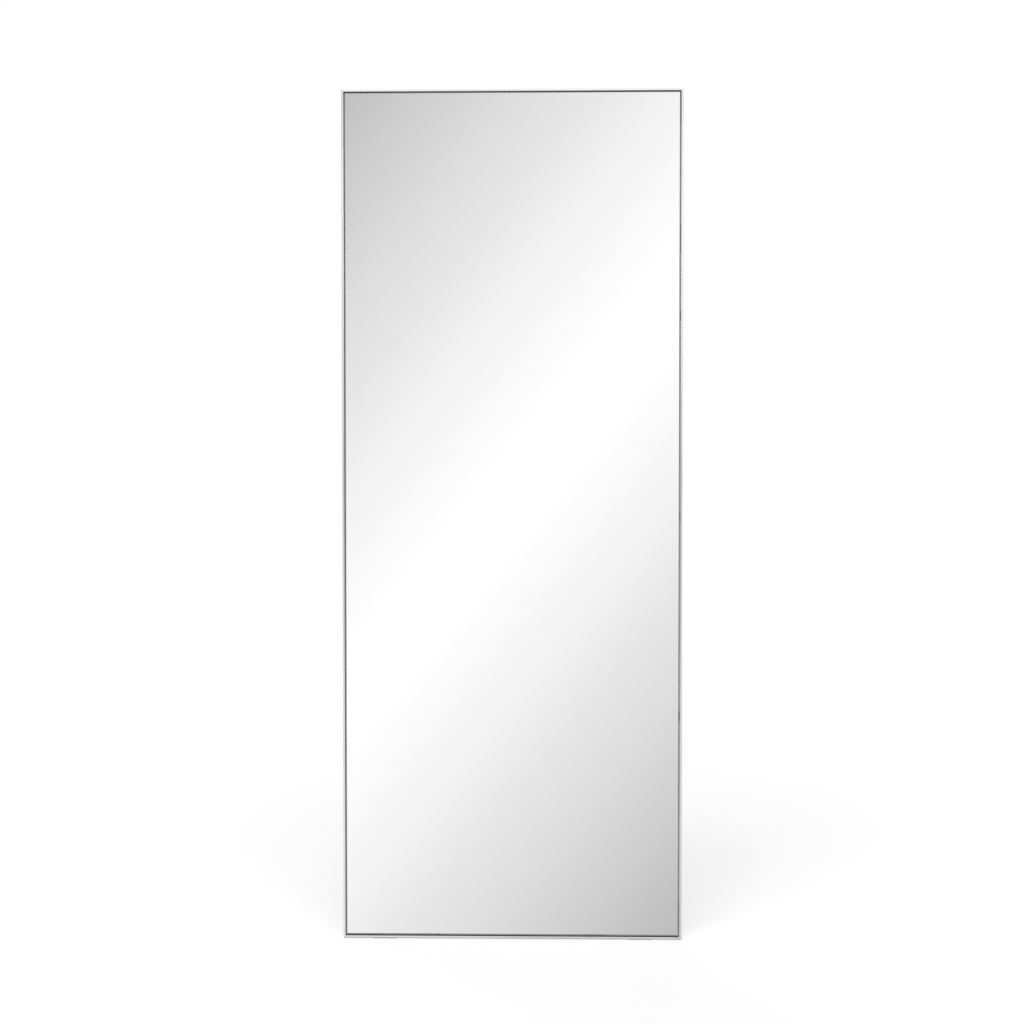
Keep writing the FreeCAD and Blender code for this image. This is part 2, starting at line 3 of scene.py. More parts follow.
import bpy
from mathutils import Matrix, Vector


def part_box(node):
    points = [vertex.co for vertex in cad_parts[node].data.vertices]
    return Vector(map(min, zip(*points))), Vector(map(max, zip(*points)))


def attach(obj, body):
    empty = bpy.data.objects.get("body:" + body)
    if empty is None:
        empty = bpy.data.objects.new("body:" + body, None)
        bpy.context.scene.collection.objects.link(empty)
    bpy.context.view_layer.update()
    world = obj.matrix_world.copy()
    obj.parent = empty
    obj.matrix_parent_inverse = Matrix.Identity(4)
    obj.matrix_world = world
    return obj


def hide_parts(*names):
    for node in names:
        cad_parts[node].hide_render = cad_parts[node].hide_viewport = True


# Leaning floor mirror: a tall sheet of silvered glass in a slim frame of polished flat bar. Metres
# throughout: X across, Y from the mirror's face to the wall behind it, Z up from the floor.
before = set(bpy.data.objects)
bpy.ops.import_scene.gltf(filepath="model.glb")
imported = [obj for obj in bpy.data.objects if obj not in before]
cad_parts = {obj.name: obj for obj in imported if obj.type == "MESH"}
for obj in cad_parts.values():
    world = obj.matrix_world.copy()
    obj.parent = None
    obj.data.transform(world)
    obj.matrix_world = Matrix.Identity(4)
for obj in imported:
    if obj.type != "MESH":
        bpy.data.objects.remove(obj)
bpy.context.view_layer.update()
scene = bpy.context.scene
scene.view_settings.view_transform = "Standard"


# Camera: level with the middle of the glass, about four metres in front of it, with a short
# telephoto lens. It looks down and to the left by a degree or two, as the photograph does.
camera_data = bpy.data.cameras.new("camera")
camera_data.sensor_width = 36
camera_data.lens = 58.58
camera = bpy.data.objects.new("camera", camera_data)
camera.location = (0.0859, -4.0, 1.1431)
degrees_down, degrees_left = 1.644, 1.239
camera.rotation_euler = (math.radians(90 - degrees_down), 0, math.radians(degrees_left))
scene.collection.objects.link(camera)
scene.camera = camera


# Studio: a plain white floor and a white surround. A polished mirror shows only its surround, so
# what glossy rays see is a white flat, bright along one slanting band and shaded away from it.
def linear(hex_code):
    """The linear colour of an sRGB hex value."""
    channels = [int(hex_code[start:start + 2], 16) / 255 for start in (1, 3, 5)]
    return (*[c / 12.92 if c <= 0.04045 else ((c + 0.055) / 1.055) ** 2.4 for c in channels], 1)


def add_node(tree, kind, values=None, links=None, **settings):
    """One node, with its settings, its inputs' values and its links from (node, output) pairs."""
    node = tree.nodes.new(kind)
    for name, setting in settings.items():
        setattr(node, name, setting)
    for socket, value in (values or {}).items():
        node.inputs[socket].default_value = value
    for socket, (source, output) in (links or {}).items():
        tree.links.new(source.outputs[output], node.inputs[socket])
    return node


world = bpy.data.worlds.new("white_studio")
scene.world = world
world.use_nodes = True
tree = world.node_tree
tree.nodes.clear()
direction = add_node(tree, "ShaderNodeTexCoord")
axes = add_node(tree, "ShaderNodeSeparateXYZ", links={0: (direction, "Generated")})
toward = add_node(tree, "ShaderNodeMath", operation="ABSOLUTE", links={0: (axes, "Y")})
least_depth = 0.2
depth = add_node(
    tree, "ShaderNodeMath", operation="MAXIMUM", values={1: least_depth}, links={0: (toward, 0)}
)
across = add_node(tree, "ShaderNodeMath", operation="DIVIDE", links={0: (axes, "X"), 1: (depth, 0)})
rise = add_node(tree, "ShaderNodeMath", operation="DIVIDE", links={0: (axes, "Z"), 1: (depth, 0)})
band_slope, band_height = 1.25, 0.0066
slope = add_node(
    tree, "ShaderNodeMath", operation="MULTIPLY_ADD",
    values={1: band_slope, 2: band_height}, links={0: (across, 0)},
)
slant = add_node(tree, "ShaderNodeMath", operation="SUBTRACT", links={0: (slope, 0), 1: (rise, 0)})
from_band = add_node(tree, "ShaderNodeMath", operation="ABSOLUTE", links={0: (slant, 0)})
flat_shade = add_node(tree, "ShaderNodeValToRGB", links={0: (from_band, 0)})
stops = flat_shade.color_ramp.elements
stops.remove(stops[1])
stops[0].color = (1, 1, 1, 1)
for position, level in (
    (0.06, 0.925), (0.09, 0.890), (0.12, 0.862), (0.18, 0.767),
    (0.24, 0.694), (0.30, 0.608), (0.36, 0.520), (0.40, 0.465),
):
    stops.new(position).color = (level, level, level, 1)

# The room round the flat is a broad slanting wash of light, greyer straight out to the sides, under
# a white ceiling.
wash_slope, wash_height = -0.6, 0.06
lean = add_node(
    tree, "ShaderNodeMath", operation="MULTIPLY_ADD",
    values={1: wash_slope, 2: wash_height}, links={0: (axes, "X")},
)
off_axis = add_node(tree, "ShaderNodeMath", operation="ADD", links={0: (lean, 0), 1: (axes, "Z")})
off_wash = add_node(tree, "ShaderNodeMath", operation="ABSOLUTE", links={0: (off_axis, 0)})
wash = add_node(tree, "ShaderNodeValToRGB", links={0: (off_wash, 0)})
stops = wash.color_ramp.elements
stops[0].color = (1, 1, 1, 1)
stops[1].color = (0.50, 0.50, 0.50, 1)
for position, level in ((0.15, 0.96), (0.30, 0.84), (0.45, 0.72), (0.70, 0.57)):
    stops.new(position).color = (level, level, level, 1)
turned = add_node(
    tree, "ShaderNodeMath", operation="MULTIPLY_ADD", values={1: 0.5, 2: 0.5}, links={0: (axes, "Y")}
)
sides = add_node(tree, "ShaderNodeValToRGB", links={0: (turned, 0)})
stops = sides.color_ramp.elements
for position, level in ((0.05, 1), (0.13, 0.78), (0.36, 0.72), (0.88, 0.72)):
    stops.new(position).color = (level, level, level, 1)
stops[0].color = stops[len(stops) - 1].color = (1, 1, 1, 1)

# Close beside the flat hang greyer drapes, darkest at eye level and white above it.
height = add_node(
    tree, "ShaderNodeMath", operation="MULTIPLY_ADD", values={1: 0.5, 2: 0.5}, links={0: (axes, "Z")}
)
drapes = add_node(tree, "ShaderNodeValToRGB", links={0: (height, 0)})
stops = drapes.color_ramp.elements
stops[0].color = (0.60, 0.60, 0.60, 1)
stops[1].color = (0.76, 0.76, 0.76, 1)
for position, level in (
    (0.37, 0.70), (0.43, 0.69), (0.465, 0.50), (0.495, 0.45),
    (0.52, 0.65), (0.55, 0.97), (0.578, 1), (0.61, 0.80),
):
    stops.new(position).color = (level, level, level, 1)

# A window is the area in which the flat or the drapes hang. It fades out between two widths and
# between two heights, given as shares of the distance, and lies only in front of the mirror.
flat_drop = 0.031
aside = add_node(tree, "ShaderNodeMath", operation="ABSOLUTE", links={0: (across, 0)})
centred = add_node(tree, "ShaderNodeMath", operation="ADD", values={1: flat_drop}, links={0: (rise, 0)})
updown = add_node(tree, "ShaderNodeMath", operation="ABSOLUTE", links={0: (centred, 0)})
front = add_node(tree, "ShaderNodeMath", operation="LESS_THAN", values={1: 0}, links={0: (axes, "Y")})
flat_ends, flank_ends = ((0.20, 0.15), (0.34, 0.26)), ((0.50, 0.36), (0.40, 0.30))
windows = []
for width_ends, height_ends in (flat_ends, flank_ends):
    wide, tall = [
        add_node(
            tree, "ShaderNodeMapRange", interpolation_type="SMOOTHSTEP",
            values={"From Min": far, "From Max": near}, links={"Value": (distance, 0)},
        )
        for (far, near), distance in ((width_ends, aside), (height_ends, updown))
    ]
    both_ways = add_node(
        tree, "ShaderNodeMath", operation="MULTIPLY", links={0: (wide, 0), 1: (tall, 0)}
    )
    windows.append(add_node(
        tree, "ShaderNodeMath", operation="MULTIPLY", links={0: (both_ways, 0), 1: (front, 0)}
    ))
flat_window, flank_window = windows

# Inputs 6 and 7 and output 2 of a colour mix are its two colours and its result.
walls = add_node(
    tree, "ShaderNodeMix", data_type="RGBA", blend_type="MULTIPLY", values={0: 1},
    links={6: (wash, 0), 7: (sides, 0)},
)
overhead = add_node(
    tree, "ShaderNodeMapRange", interpolation_type="SMOOTHSTEP",
    values={"From Min": 0.22, "From Max": 0.45}, links={"Value": (axes, "Z")},
)
covered = add_node(
    tree, "ShaderNodeMix", data_type="RGBA", values={7: linear("#FAFAFA")},
    links={0: (overhead, 0), 6: (walls, 2)},
)
room = add_node(
    tree, "ShaderNodeMix", data_type="RGBA",
    links={0: (flank_window, 0), 6: (covered, 2), 7: (drapes, 0)},
)
surround = add_node(
    tree, "ShaderNodeMix", data_type="RGBA",
    links={0: (flat_window, 0), 6: (room, 2), 7: (flat_shade, 0)},
)

# Plain soft light falls on matt surfaces, glossy rays see the flat and its room, and the camera
# sees plain white.
fill_strength, flat_strength, white_strength = 0.55, 1.12, 1.0
paths = add_node(tree, "ShaderNodeLightPath")
fill = add_node(
    tree, "ShaderNodeBackground", values={"Color": linear("#FFFFFF"), "Strength": fill_strength}
)
mirrored = add_node(
    tree, "ShaderNodeBackground", values={"Strength": flat_strength}, links={"Color": (surround, 2)}
)
white = add_node(
    tree, "ShaderNodeBackground", values={"Color": linear("#FFFFFF"), "Strength": white_strength}
)
lit = add_node(
    tree, "ShaderNodeMixShader",
    links={0: (paths, "Is Glossy Ray"), 1: (fill, 0), 2: (mirrored, 0)},
)
seen = add_node(
    tree, "ShaderNodeMath", operation="MAXIMUM",
    links={0: (paths, "Is Camera Ray"), 1: (paths, "Is Transmission Ray")},
)
shown = add_node(tree, "ShaderNodeMixShader", links={0: (seen, 0), 1: (lit, 0), 2: (white, 0)})
add_node(tree, "ShaderNodeOutputWorld", links={"Surface": (shown, 0)})

# The floor is matt white paint. To the camera it also glows a little, which lifts it to the
# surround's white but keeps the frame's soft shadow.
floor_size, floor_glow = 80, 0.30
bpy.ops.object.select_all(action="DESELECT")
bpy.ops.mesh.primitive_plane_add(size=floor_size, location=(0, 0, 0))
floor = bpy.context.object
floor.name = "studio_floor"
floor.visible_glossy = False
paint = bpy.data.materials.new("matt_white_floor")
paint.use_nodes = True
tree = paint.node_tree
tree.nodes.clear()
paths = add_node(tree, "ShaderNodeLightPath")
seen = add_node(
    tree, "ShaderNodeMath", operation="MAXIMUM",
    links={0: (paths, "Is Camera Ray"), 1: (paths, "Is Transmission Ray")},
)
lift = add_node(
    tree, "ShaderNodeMath", operation="MULTIPLY", values={1: floor_glow}, links={0: (seen, 0)}
)
matt = add_node(tree, "ShaderNodeBsdfDiffuse", values={"Color": linear("#E7E7E7")})
glow = add_node(
    tree, "ShaderNodeEmission", values={"Color": linear("#FFFFFF")}, links={"Strength": (lift, 0)}
)
both = add_node(tree, "ShaderNodeAddShader", links={0: (matt, 0), 1: (glow, 0)})
add_node(tree, "ShaderNodeOutputMaterial", links={"Surface": (both, 0)})
floor.data.materials.append(paint)

# Two broad softboxes, high in front and high behind: name, strength, and tilt and turn in degrees.
softbox_spread = math.radians(60)
for lamp, strength, tilt, turn in (("front_softbox", 1.4, 50, -6), ("rear_softbox", 0.5, 60, 205)):
    light_data = bpy.data.lights.new(lamp, "SUN")
    light_data.energy = strength
    light_data.angle = softbox_spread
    light = bpy.data.objects.new(lamp, light_data)
    light.rotation_euler = (math.radians(tilt), 0, math.radians(turn))
    light.visible_glossy = False
    scene.collection.objects.link(light)


# Frame: four lengths of 38 x 5 mm stainless flat bar on edge, mitred, welded at the corners, then
# ground flush and buffed with a cotton wheel. Only the 5 mm edges show from the front.
def dress(material, *names):
    """Gives CAD nodes a material in place of their own."""
    for name in names:
        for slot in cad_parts[name].material_slots:
            slot.material = material


def start_material(name):
    """A new material, its node tree, its shader and a node with the piece's own coordinates."""
    material = bpy.data.materials.new(name)
    material.use_nodes = True
    tree = material.node_tree
    return material, tree, tree.nodes["Principled BSDF"], add_node(tree, "ShaderNodeTexCoord")


def polished_stainless(name, cells, along, over, middle, half_span):
    """Buffed stainless: a clear reflection, with hair-fine polishing lines along the bar, 0.4 mm
    apart and 70 mm long, and faint hand marks 45 mm across. Buffing leaves the narrow edge falling
    away a little towards its outside, by an amount that drifts along the bar."""
    material, tree, shader, place = start_material(name)
    stretched = add_node(
        tree, "ShaderNodeMapping", values={"Scale": cells}, links={"Vector": (place, "Object")}
    )
    lines = add_node(
        tree, "ShaderNodeTexNoise", values={"Scale": 1, "Detail": 2, "Roughness": 0.6},
        links={"Vector": (stretched, 0)},
    )
    marks = add_node(
        tree, "ShaderNodeTexNoise", values={"Scale": 22, "Detail": 4, "Roughness": 0.55},
        links={"Vector": (place, "Object")},
    )
    gloss = add_node(
        tree, "ShaderNodeMapRange",
        values={"From Min": 0.35, "From Max": 0.75, "To Min": 0.05, "To Max": 0.13},
        links={"Value": (marks, 0)},
    )
    grain = add_node(
        tree, "ShaderNodeMath", operation="MULTIPLY_ADD", values={1: 0.05},
        links={0: (lines, 0), 2: (gloss, 0)},
    )
    tone = add_node(
        tree, "ShaderNodeMix", data_type="RGBA",
        values={6: linear("#F0F0EE"), 7: linear("#E6E7E8")}, links={0: (marks, 0)},
    )
    parts = add_node(tree, "ShaderNodeSeparateXYZ", links={0: (place, "Object")})
    from_middle = add_node(
        tree, "ShaderNodeMath", operation="SUBTRACT", values={1: middle}, links={0: (parts, over)}
    )
    span = add_node(tree, "ShaderNodeMath", operation="ABSOLUTE", links={0: (from_middle, 0)})
    outward = add_node(
        tree, "ShaderNodeMath", operation="SUBTRACT", values={1: half_span}, links={0: (span, 0)}
    )
    squared = add_node(
        tree, "ShaderNodeMath", operation="MULTIPLY", links={0: (outward, 0), 1: (outward, 0)}
    )
    wave = add_node(
        tree, "ShaderNodeTexNoise", noise_dimensions="1D", values={"Scale": 3.1, "Detail": 1},
        links={"W": (parts, along)},
    )
    falling = add_node(
        tree, "ShaderNodeMapRange",
        values={"From Min": 0.3, "From Max": 0.7, "To Min": -22, "To Max": -36},
        links={"Value": (wave, 0)},
    )
    crown = add_node(
        tree, "ShaderNodeMath", operation="MULTIPLY", links={0: (squared, 0), 1: (falling, 0)}
    )
    slow = add_node(
        tree, "ShaderNodeBump", values={"Strength": 1, "Distance": 1}, links={"Height": (crown, 0)}
    )
    fine = add_node(
        tree, "ShaderNodeBump", values={"Strength": 0.12, "Distance": 0.00002},
        links={"Height": (lines, 0), "Normal": (slow, 0)},
    )
    shader.inputs["Metallic"].default_value = 1
    tree.links.new(tone.outputs[2], shader.inputs["Base Color"])
    tree.links.new(grain.outputs[0], shader.inputs["Roughness"])
    tree.links.new(fine.outputs[0], shader.inputs["Normal"])
    return material


# The bars' inner faces are the zero of their fall: 401.5 mm from the middle line on the stiles, and
# 1011 mm from mid-height on the rails.
outer_low, outer_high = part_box("frame_left_stile")[0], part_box("frame_right_stile")[1]
inner_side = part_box("frame_right_stile")[0].x
mid_height = (outer_low.z + outer_high.z) / 2
inner_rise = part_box("frame_top_rail")[0].z - mid_height
upright_steel = polished_stainless(
    "polished_stainless_upright", (2600, 2600, 14), "Z", "X", 0, inner_side
)
level_steel = polished_stainless(
    "polished_stainless_level", (14, 2600, 2600), "X", "Z", mid_height, inner_rise
)
dress(upright_steel, "frame_left_stile", "frame_right_stile")
dress(level_steel, "frame_top_rail", "frame_bottom_rail")


# Mirror glass: 4 mm float glass, silvered and then painted grey behind, with ground edges. Its
# front is a plain mirror, its edge is pale green, and the fine bevel round each face is whitish.
glass_low, glass_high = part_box("mirror_glass")
# Its ground edge has a grit of 0.3 mm, coarser than the real one so that it shows, the grey paint
# behind clouds 17 mm across, and the front wiping marks 200 mm across.
silvered, tree, shader, place = start_material("silvered_float_glass")
parts = add_node(tree, "ShaderNodeSeparateXYZ", links={0: (place, "Object")})
face_depth = 0.00005
front = add_node(
    tree, "ShaderNodeMath", operation="LESS_THAN", values={1: glass_low.y + face_depth},
    links={0: (parts, "Y")},
)
back = add_node(
    tree, "ShaderNodeMath", operation="GREATER_THAN", values={1: glass_high.y - face_depth},
    links={0: (parts, "Y")},
)
ground = add_node(
    tree, "ShaderNodeTexNoise", values={"Scale": 3000, "Detail": 3}, links={"Vector": (place, "Object")}
)
edge_tone = add_node(
    tree, "ShaderNodeMix", data_type="RGBA",
    values={6: linear("#A6C2B5"), 7: linear("#DBE8E1")}, links={0: (ground, 0)},
)
paint_cloud = add_node(
    tree, "ShaderNodeTexNoise", values={"Scale": 60, "Detail": 5}, links={"Vector": (place, "Object")}
)
paint_tone = add_node(
    tree, "ShaderNodeMix", data_type="RGBA",
    values={6: linear("#7F8483"), 7: linear("#969A98")}, links={0: (paint_cloud, 0)},
)
behind = add_node(
    tree, "ShaderNodeMix", data_type="RGBA", links={0: (back, 0), 6: (edge_tone, 2), 7: (paint_tone, 2)}
)
whole = add_node(
    tree, "ShaderNodeMix", data_type="RGBA", values={7: linear("#F7F7F7")},
    links={0: (front, 0), 6: (behind, 2)},
)
wiped = add_node(
    tree, "ShaderNodeTexNoise", values={"Scale": 5, "Detail": 3}, links={"Vector": (place, "Object")}
)
clear = add_node(
    tree, "ShaderNodeMapRange",
    values={"From Min": 0.45, "From Max": 0.8, "To Min": 0.0, "To Max": 0.012},
    links={"Value": (wiped, 0)},
)
matt_part = add_node(
    tree, "ShaderNodeMapRange", values={"To Min": 0.38, "To Max": 0.55}, links={"Value": (ground, 0)}
)
rough = add_node(
    tree, "ShaderNodeMix", data_type="FLOAT", links={0: (front, 0), 2: (matt_part, 0), 3: (clear, 0)}
)
tree.links.new(whole.outputs[2], shader.inputs["Base Color"])
tree.links.new(front.outputs[0], shader.inputs["Metallic"])
tree.links.new(rough.outputs[0], shader.inputs["Roughness"])
dress(silvered, "mirror_glass")


# Foam tape: white closed-cell polyethylene strips, sticky on both sides, that bond the glass to
# the board. Cut edges show round cells, 0.55 mm across.
foam, tree, shader, place = start_material("polyethylene_foam_tape")
cells = add_node(
    tree, "ShaderNodeTexVoronoi", values={"Scale": 1800}, links={"Vector": (place, "Object")}
)
tone = add_node(
    tree, "ShaderNodeMix", data_type="RGBA",
    values={6: linear("#D9D7CF"), 7: linear("#F1F0EB")}, links={0: (cells, "Distance")},
)
pores = add_node(
    tree, "ShaderNodeBump", values={"Strength": 0.5, "Distance": 0.0001},
    links={"Height": (cells, "Distance")},
)
shine = add_node(
    tree, "ShaderNodeMapRange", values={"To Min": 0.62, "To Max": 0.85},
    links={"Value": (cells, "Distance")},
)
tree.links.new(tone.outputs[2], shader.inputs["Base Color"])
tree.links.new(shine.outputs[0], shader.inputs["Roughness"])
tree.links.new(pores.outputs[0], shader.inputs["Normal"])
dress(foam, *[f"foam_tape_{number}" for number in range(1, 6)])


# Backing board: 9 mm fibreboard, dyed grey, lined in front with pale grey paper, which is the bottom
# of the narrow dark gap round the glass. It closes the frame. Its fibre bundles are 1.4 mm across,
# coarser than the real ones so that they show, and its cloudy patches 110 mm.
board, tree, shader, place = start_material("grey_fibreboard")
fibres = add_node(
    tree, "ShaderNodeTexNoise", values={"Scale": 700, "Detail": 6, "Roughness": 0.7, "Distortion": 0.6},
    links={"Vector": (place, "Object")},
)
clouds = add_node(
    tree, "ShaderNodeTexNoise", values={"Scale": 9, "Detail": 5, "Roughness": 0.6},
    links={"Vector": (place, "Object")},
)
fibre_tone = add_node(
    tree, "ShaderNodeMix", data_type="RGBA",
    values={6: linear("#656461"), 7: linear("#85837F")}, links={0: (fibres, 0)},
)
cloud_share = add_node(
    tree, "ShaderNodeMapRange", values={"From Min": 0.4, "From Max": 0.8, "To Max": 0.35},
    links={"Value": (clouds, 0)},
)
cloud_tone = add_node(
    tree, "ShaderNodeMix", data_type="RGBA",
    values={7: linear("#8C8985")}, links={0: (cloud_share, 0), 6: (fibre_tone, 2)},
)

# The way a face looks tells the lined front from the sawn edges, which are darker.
halfway = 0.5
surface = add_node(tree, "ShaderNodeNewGeometry")
facing = add_node(tree, "ShaderNodeSeparateXYZ", links={0: (surface, "Normal")})
flatness = add_node(tree, "ShaderNodeMath", operation="ABSOLUTE", links={0: (facing, "Y")})
cut_edge = add_node(
    tree, "ShaderNodeMath", operation="LESS_THAN", values={1: halfway}, links={0: (flatness, 0)}
)
front_side = add_node(
    tree, "ShaderNodeMath", operation="LESS_THAN", values={1: -halfway}, links={0: (facing, "Y")}
)
paper_tone = add_node(
    tree, "ShaderNodeMix", data_type="RGBA",
    values={6: linear("#A09F9B"), 7: linear("#B8B7B3")}, links={0: (fibres, 0)},
)
lined = add_node(
    tree, "ShaderNodeMix", data_type="RGBA",
    links={0: (front_side, 0), 6: (cloud_tone, 2), 7: (paper_tone, 2)},
)
tone = add_node(
    tree, "ShaderNodeMix", data_type="RGBA",
    values={7: linear("#2B2520")}, links={0: (cut_edge, 0), 6: (lined, 2)},
)
shine = add_node(
    tree, "ShaderNodeMapRange", values={"To Min": 0.5, "To Max": 0.78}, links={"Value": (fibres, 0)}
)
nap = add_node(
    tree, "ShaderNodeBump", values={"Strength": 0.35, "Distance": 0.00012}, links={"Height": (fibres, 0)}
)
tree.links.new(tone.outputs[2], shader.inputs["Base Color"])
tree.links.new(shine.outputs[0], shader.inputs["Roughness"])
tree.links.new(nap.outputs[0], shader.inputs["Normal"])
dress(board, "backing_board")


# Setting blocks: two stepped lengths of grey EPDM rubber on the bottom bar, cut from an extruded
# strip. They carry the glass and the board and keep them off the steel.
def epdm_rubber(name, colour, bloomed):
    """Matt rubber with a mould texture of 0.4 mm and a paler bloom in clouds 7 mm across."""
    material, tree, shader, place = start_material(name)
    skin = add_node(
        tree, "ShaderNodeTexNoise", values={"Scale": 2600, "Detail": 3, "Roughness": 0.6},
        links={"Vector": (place, "Object")},
    )
    bloom = add_node(
        tree, "ShaderNodeTexNoise", values={"Scale": 140, "Detail": 4},
        links={"Vector": (place, "Object")},
    )
    bloom_share = add_node(
        tree, "ShaderNodeMapRange", values={"From Min": 0.45, "From Max": 0.8, "To Max": 0.5},
        links={"Value": (bloom, 0)},
    )
    tone = add_node(
        tree, "ShaderNodeMix", data_type="RGBA",
        values={6: linear(colour), 7: linear(bloomed)}, links={0: (bloom_share, 0)},
    )
    shine = add_node(
        tree, "ShaderNodeMapRange", values={"To Min": 0.55, "To Max": 0.8}, links={"Value": (skin, 0)}
    )
    moulded = add_node(
        tree, "ShaderNodeBump", values={"Strength": 0.3, "Distance": 0.00006},
        links={"Height": (skin, 0)},
    )
    tree.links.new(tone.outputs[2], shader.inputs["Base Color"])
    tree.links.new(shine.outputs[0], shader.inputs["Roughness"])
    tree.links.new(moulded.outputs[0], shader.inputs["Normal"])
    return material


grey_rubber = epdm_rubber("grey_epdm_rubber", "#5C5C5A", "#777775")
dress(grey_rubber, "setting_block_left", "setting_block_right")


# Corner plates and tabs: 2 mm stainless sheet, brushed, and welded to the inside of the bars behind
# the board. The weld's heat leaves straw and blue bands beside each bead.
CORNERS = ("bottom_left", "bottom_right", "top_left", "top_right")
stile_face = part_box("corner_plate_bottom_right")[1].x
rail_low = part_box("corner_plate_bottom_left")[0].z
rail_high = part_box("corner_plate_top_left")[1].z
plate_front, plate_back = [corner.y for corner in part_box("corner_plate_top_left")]

# The brushing runs across, in lines 0.3 mm apart and 17 mm long.
plate_steel, tree, shader, place = start_material("brushed_stainless_sheet")
stretched = add_node(
    tree, "ShaderNodeMapping", values={"Scale": (60, 3000, 3000)}, links={"Vector": (place, "Object")}
)
brushing = add_node(
    tree, "ShaderNodeTexNoise", values={"Scale": 1, "Detail": 3, "Roughness": 0.65},
    links={"Vector": (stretched, 0)},
)

# The heat bands follow the distance to the nearest bar, with a ragged edge.
band_start, band_end, raggedness = -0.002, 0.010, -0.004
parts = add_node(tree, "ShaderNodeSeparateXYZ", links={0: (place, "Object")})
aside = add_node(tree, "ShaderNodeMath", operation="ABSOLUTE", links={0: (parts, "X")})
to_stile = add_node(
    tree, "ShaderNodeMath", operation="SUBTRACT", values={0: stile_face}, links={1: (aside, 0)}
)
to_low_rail = add_node(
    tree, "ShaderNodeMath", operation="SUBTRACT", values={1: rail_low}, links={0: (parts, "Z")}
)
to_high_rail = add_node(
    tree, "ShaderNodeMath", operation="SUBTRACT", values={0: rail_high}, links={1: (parts, "Z")}
)
to_rail = add_node(
    tree, "ShaderNodeMath", operation="MINIMUM", links={0: (to_low_rail, 0), 1: (to_high_rail, 0)}
)
to_bar = add_node(
    tree, "ShaderNodeMath", operation="MINIMUM", links={0: (to_stile, 0), 1: (to_rail, 0)}
)
uneven = add_node(
    tree, "ShaderNodeTexNoise", values={"Scale": 180, "Detail": 2}, links={"Vector": (place, "Object")}
)
ragged = add_node(
    tree, "ShaderNodeMath", operation="MULTIPLY_ADD", values={1: raggedness},
    links={0: (uneven, 0), 2: (to_bar, 0)},
)
heat = add_node(
    tree, "ShaderNodeMapRange", values={"From Min": band_start, "From Max": band_end},
    links={"Value": (ragged, 0)},
)
tint = add_node(tree, "ShaderNodeValToRGB", links={0: (heat, 0)})
stops = tint.color_ramp.elements
stops[0].color = linear("#9A9894")
stops[1].color = linear("#B4B4B1")
for position, colour in (
    (0.16, "#8F8D8B"), (0.30, "#6F7390"), (0.44, "#9A7F74"), (0.58, "#BBA572"), (0.78, "#B4B4B1"),
):
    stops.new(position).color = linear(colour)
shade = add_node(
    tree, "ShaderNodeMix", data_type="RGBA", blend_type="MULTIPLY", values={0: 0.25},
    links={6: (tint, 0), 7: (brushing, 0)},
)
satin = add_node(
    tree, "ShaderNodeMapRange", values={"To Min": 0.24, "To Max": 0.46}, links={"Value": (brushing, 0)}
)
scratches = add_node(
    tree, "ShaderNodeBump", values={"Strength": 0.25, "Distance": 0.00003},
    links={"Height": (brushing, 0)},
)
shader.inputs["Metallic"].default_value = 1
tree.links.new(shade.outputs[2], shader.inputs["Base Color"])
tree.links.new(satin.outputs[0], shader.inputs["Roughness"])
tree.links.new(scratches.outputs[0], shader.inputs["Normal"])

TABS = ["top_tab", "bottom_tab"]
TABS += [f"side_tab_{side}_{number}" for side in ("left", "right") for number in (1, 2, 3)]
dress(plate_steel, *[f"corner_plate_{corner}" for corner in CORNERS], *TABS)


# Welds: short TIG beads along the plates' and tabs' edges, and one up each inside corner of the
# frame. Each bead is a row of overlapping ripples about 1.3 mm apart, narrower at its ends.
def make_bead(length, radius):
    """A weld bead along +X from the origin, one ripple at a time from end to end."""
    ripple_pitch, end_size, narrowing = 0.0013, 0.35, 0.35
    size = end_size * radius
    bpy.ops.object.select_all(action="DESELECT")
    bpy.ops.mesh.primitive_circle_add(
        vertices=14, radius=size, fill_type="NGON", rotation=(0, math.pi / 2, 0)
    )
    bead = bpy.context.object
    bpy.ops.object.transform_apply(location=False, rotation=True, scale=True)
    bpy.ops.object.mode_set(mode="EDIT")
    bpy.ops.mesh.select_all(action="SELECT")
    ripples = round(length / ripple_pitch)
    # Each ripple is three rings: it swells, is full and shrinks.
    ripple_rings = (0.93, 1.0, 0.86)
    step = length / (ripples * len(ripple_rings))
    for number in range(ripples):
        full = radius * (1 - narrowing * abs(2 * number / (ripples - 1) - 1) ** 6)
        for share in ripple_rings:
            wanted = full * share
            bpy.ops.mesh.extrude_region_move(TRANSFORM_OT_translate={"value": (step, 0, 0)})
            bpy.ops.transform.resize(value=(1, wanted / size, wanted / size), center_override=(0, 0, 0))
            size = wanted
    bpy.ops.mesh.select_all(action="SELECT")
    bpy.ops.mesh.normals_make_consistent(inside=False)
    bpy.ops.object.mode_set(mode="OBJECT")
    bpy.ops.object.shade_smooth_by_angle(angle=math.radians(50))
    return bead


def set_copies(template, name, places):
    """Copies of a piece at (location, rotation) pairs, each with its own mesh, joined into one."""
    copies = []
    for location, rotation in places:
        bpy.ops.object.select_all(action="DESELECT")
        template.select_set(True)
        bpy.context.view_layer.objects.active = template
        bpy.ops.object.duplicate(linked=False)
        copy = bpy.context.object
        copy.location = location
        copy.rotation_euler = rotation
        copies.append(copy)
    bpy.ops.object.select_all(action="DESELECT")
    for copy in copies:
        copy.select_set(True)
    bpy.context.view_layer.objects.active = copies[0]
    bpy.ops.object.transform_apply(location=True, rotation=True, scale=True)
    bpy.ops.object.join()
    piece = bpy.context.object
    piece.name = name
    bpy.data.objects.remove(template)
    return piece


def lay_welds(name, bead, places):
    """A piece of like beads, one at each place, of the same steel as the plates."""
    welds = set_copies(bead, name, places)
    welds.data.materials.append(plate_steel)
    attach(welds, "frame")


